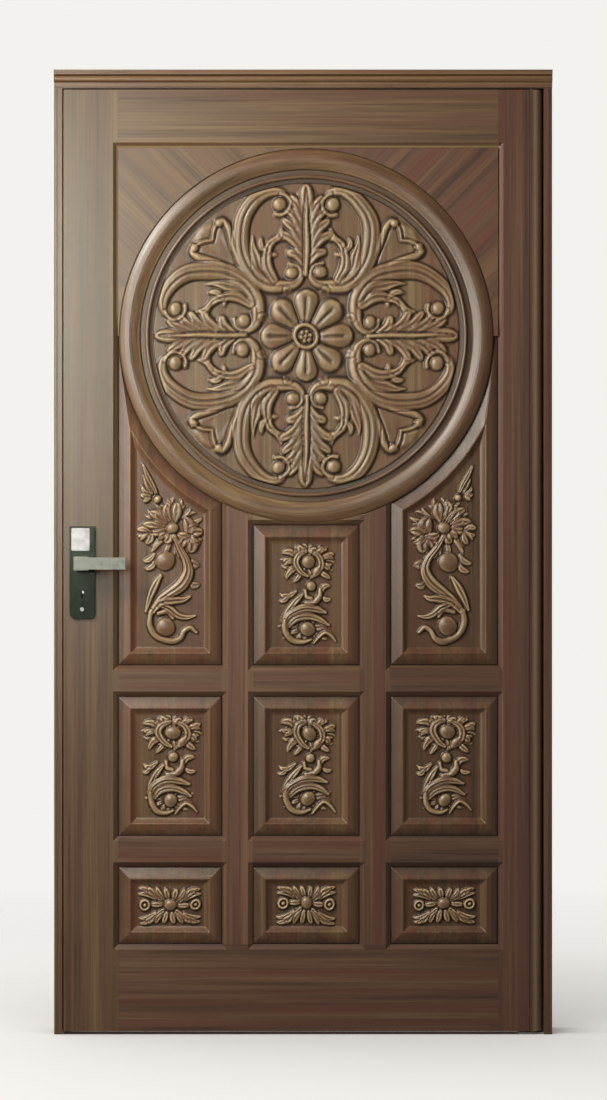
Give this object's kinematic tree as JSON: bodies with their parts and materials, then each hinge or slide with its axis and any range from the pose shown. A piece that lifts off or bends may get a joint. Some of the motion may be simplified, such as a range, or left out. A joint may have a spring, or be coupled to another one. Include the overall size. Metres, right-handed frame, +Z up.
{
  "type": "carved temple door",
  "caption": "Carved wooden temple door in its frame: a round scroll medallion in a moulded ring over raised carved panels, hung on pivots, with a lever lock.",
  "frame": {"origin": "centre of the whole object's depth and width, on the floor under the frame", "axes": "+Z up the door, +X to the right seen from outside, -Y towards the outside, where the carved face is"},
  "size_m": [1.085, 0.167, 2.1],
  "materials": {
    "frame_wood": "satin lacquer",
    "stile_wood": "satin lacquer",
    "carved_wood": "satin lacquer, rubbed light on the high carving",
    "steel": "brushed",
    "brass": "machined",
    "nickel": "satin nickel"
  },
  "bodies": {
    "frame": {"head": "frame_wood", "head_moulding": "frame_wood", "jamb_lock_side": "frame_wood", "jamb_hinge_side": "frame_wood", "frame_screws": "steel", "strike_plate": "nickel", "strike_screws": "steel", "top_pivot_plate": "steel", "top_pivot_pin": "steel", "bottom_pivot_plate": "steel", "bottom_pivot_pin": "steel", "thrust_washer": "brass", "pivot_plate_screws": "steel"},
    "leaf": {"lock_stile": "stile_wood", "hinge_stile": "stile_wood", "top_rail": "stile_wood", "bottom_rail": "stile_wood", "mullion_left": "stile_wood", "mullion_right": "stile_wood", "upper_rail_left": "stile_wood", "upper_rail_middle": "stile_wood", "upper_rail_right": "stile_wood", "lower_rail_left": "stile_wood", "lower_rail_middle": "stile_wood", "lower_rail_right": "stile_wood", "spandrel_left": "stile_wood", "spandrel_right": "stile_wood", "medallion_ring": "carved_wood", "medallion_panel": "carved_wood", "top_panel_left": "carved_wood", "top_panel_middle": "carved_wood", "top_panel_right": "carved_wood", "middle_panel_left": "carved_wood", "middle_panel_middle": "carved_wood", "middle_panel_right": "carved_wood", "bottom_panel_left": "carved_wood", "bottom_panel_middle": "carved_wood", "bottom_panel_right": "carved_wood", "top_pivot_bush": "brass", "bottom_pivot_bush": "brass", "bush_screws": "steel", "lock_case": "steel", "lock_cover": "steel", "lock_forend": "nickel", "forend_screws": "steel", "latch_spring": "steel", "outside_plate": "nickel", "inside_plate": "nickel", "handle_plate_screws": "steel"},
    "levers": {"follower": "brass", "spindle": "steel", "outside_lever": "nickel", "inside_lever": "nickel", "lever_grub_screws": "steel"},
    "latch": {"latch_bolt": "brass"},
    "deadbolt": {"dead_bolt": "brass"}
  },
  "joints": [
    {"name": "leaf_swing", "type": "hinge", "parent": "frame", "child": "leaf", "pos_m": [0.4995, -0.004, 0], "axis": [0, 0, 1], "range_deg": [0, 90]},
    {"name": "lever_turn", "type": "hinge", "parent": "leaf", "child": "levers", "pos_m": [-0.481, -0.004, 1.026], "axis": [0, 1, 0], "range_deg": [0, 45], "stiffness_Nm_per_rad": 1.2, "springref_deg": -34.38},
    {"name": "latch_slide", "type": "slide", "parent": "leaf", "child": "latch", "axis": [1, 0, 0], "range_m": [0, 0.011], "deforming": ["latch_spring"]},
    {"name": "dead_bolt_slide", "type": "slide", "parent": "leaf", "child": "deadbolt", "axis": [-1, 0, 0], "range_m": [0, 0.013]}
  ],
  "couplings": [
    {"joint": "latch_slide", "follows": "lever_turn", "m_per_rad": 0.014}
  ]
}
